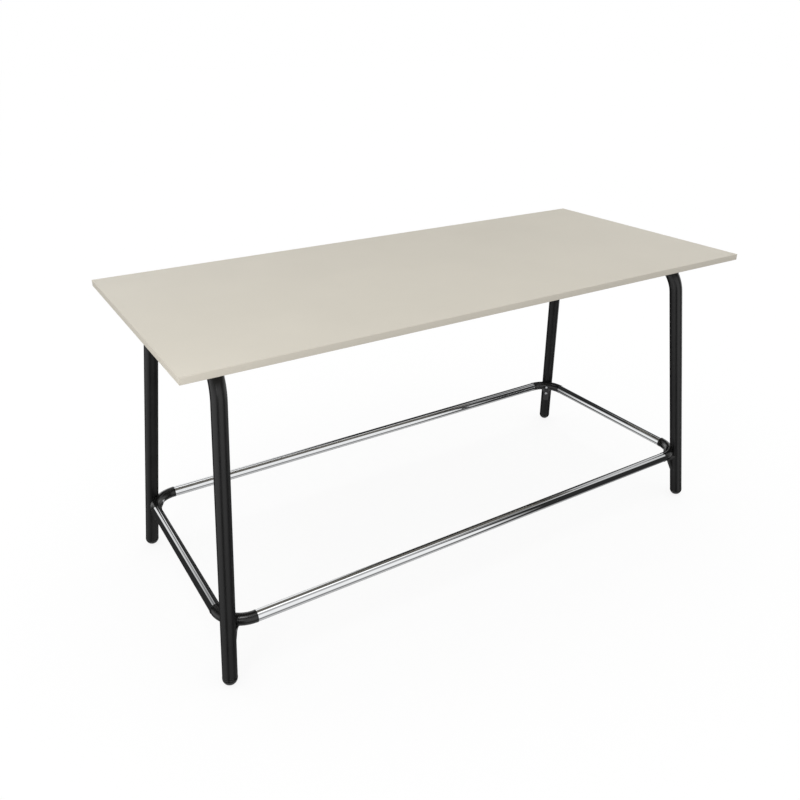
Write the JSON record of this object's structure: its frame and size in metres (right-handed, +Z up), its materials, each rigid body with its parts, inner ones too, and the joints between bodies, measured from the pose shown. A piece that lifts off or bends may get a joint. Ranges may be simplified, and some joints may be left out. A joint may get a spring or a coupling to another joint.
{
  "type": "standing meeting table",
  "caption": "Counter-height meeting table: thin rectangular laminate top on splayed black tube end frames, tied low down by a chromed footrest ring with moulded corner elbows.",
  "frame": {"origin": "on the floor, under the middle of the top", "axes": "+X along the table's length to the right, +Y across its depth away from the viewer, +Z up"},
  "size_m": [1.8, 0.8, 0.905],
  "materials": {
    "laminate": "warm grey matt laminate on board",
    "edging": "matt ABS edge band",
    "black_coat": "satin black powder coat",
    "black_polymer": "satin black moulded polymer",
    "chrome": "bright chrome plate",
    "zinc": "bright zinc plate"
  },
  "bodies": {
    "root": {"top_panel": "laminate", "edge_band_right": "edging", "edge_band_back": "edging", "edge_band_left": "edging", "edge_band_front": "edging", "end_frame_left": "black_coat", "end_frame_right": "black_coat", "top_plate_front_left": "black_coat", "plate_screw_front_left_outer": "zinc", "plate_screw_front_left_inner": "zinc", "top_plate_front_right": "black_coat", "plate_screw_front_right_outer": "zinc", "plate_screw_front_right_inner": "zinc", "stiffener_rail_front": "black_coat", "rail_screw_front_1": "zinc", "rail_screw_front_2": "zinc", "rail_screw_front_3": "zinc", "rail_screw_front_4": "zinc", "top_plate_back_left": "black_coat", "plate_screw_back_left_outer": "zinc", "plate_screw_back_left_inner": "zinc", "top_plate_back_right": "black_coat", "plate_screw_back_right_outer": "zinc", "plate_screw_back_right_inner": "zinc", "stiffener_rail_back": "black_coat", "rail_screw_back_1": "zinc", "rail_screw_back_2": "zinc", "rail_screw_back_3": "zinc", "rail_screw_back_4": "zinc", "footrest_tube_front": "chrome", "footrest_tube_back": "chrome", "footrest_tube_left": "chrome", "footrest_tube_right": "chrome", "corner_elbow_back_right": "black_polymer", "glide_back_right": "black_polymer", "elbow_screw_upper_back_right": "zinc", "elbow_screw_lower_back_right": "zinc", "corner_elbow_back_left": "black_polymer", "glide_back_left": "black_polymer", "elbow_screw_upper_back_left": "zinc", "elbow_screw_lower_back_left": "zinc", "corner_elbow_front_left": "black_polymer", "glide_front_left": "black_polymer", "elbow_screw_upper_front_left": "zinc", "elbow_screw_lower_front_left": "zinc", "corner_elbow_front_right": "black_polymer", "glide_front_right": "black_polymer", "elbow_screw_upper_front_right": "zinc", "elbow_screw_lower_front_right": "zinc"}
  },
  "joints": []
}
